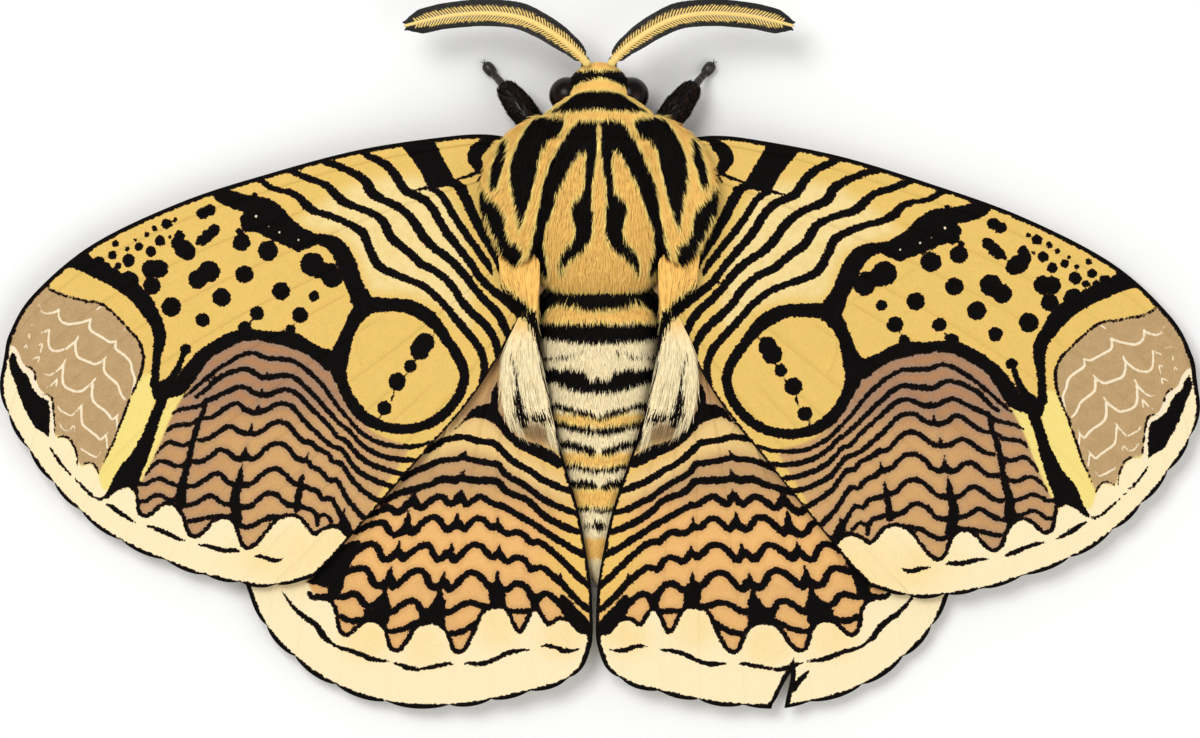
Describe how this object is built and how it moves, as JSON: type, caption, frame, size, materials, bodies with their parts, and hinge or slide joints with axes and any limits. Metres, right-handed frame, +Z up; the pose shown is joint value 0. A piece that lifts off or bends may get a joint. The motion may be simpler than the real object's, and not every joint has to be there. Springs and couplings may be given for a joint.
{
  "type": "owl moth (brahmaea hearseyi), still life-size model",
  "caption": "Large owl moth at rest with wings spread flat, patterned fore and hind wings, furry body, combed feelers and six legs; a still life-size model.",
  "frame": {"origin": "middle of the bounding box in plan, at the level of the floor that the feet stand on", "axes": "+X towards the moth's right wing tip, +Y towards its head, +Z up"},
  "size_m": [0.1801, 0.1059, 0.0164],
  "materials": {
    "forewing": "matt scales in ochre, cream and brown, with black lines and spots",
    "hindwing": "matt scales in brown and ochre, with black lines and a cream margin",
    "coat": "soft orange and yellow fur with black bands",
    "coat_dark": "short black-brown fur",
    "abdomen": "fur in rings of cream, orange and black",
    "eye": "glossy black-brown, finely faceted",
    "antenna": "ochre horn with dark combs",
    "leg": "black horn with short fur"
  },
  "bodies": {
    "root": {"abdomen": "abdomen", "antenna_left": "antenna", "antenna_right": "antenna", "collar": "coat", "eye_left": "eye", "eye_right": "eye", "foreleg_left": "leg", "foreleg_right": "leg", "forewing_left": "forewing", "forewing_right": "forewing", "head": "coat_dark", "hindleg_left": "leg", "hindleg_right": "leg", "hindwing_left": "hindwing", "hindwing_right": "hindwing", "midleg_left": "leg", "midleg_right": "leg", "palp_left": "coat_dark", "palp_right": "coat_dark", "proboscis": "antenna", "tegula_left": "coat", "tegula_right": "coat", "thorax": "coat"}
  },
  "joints": []
}
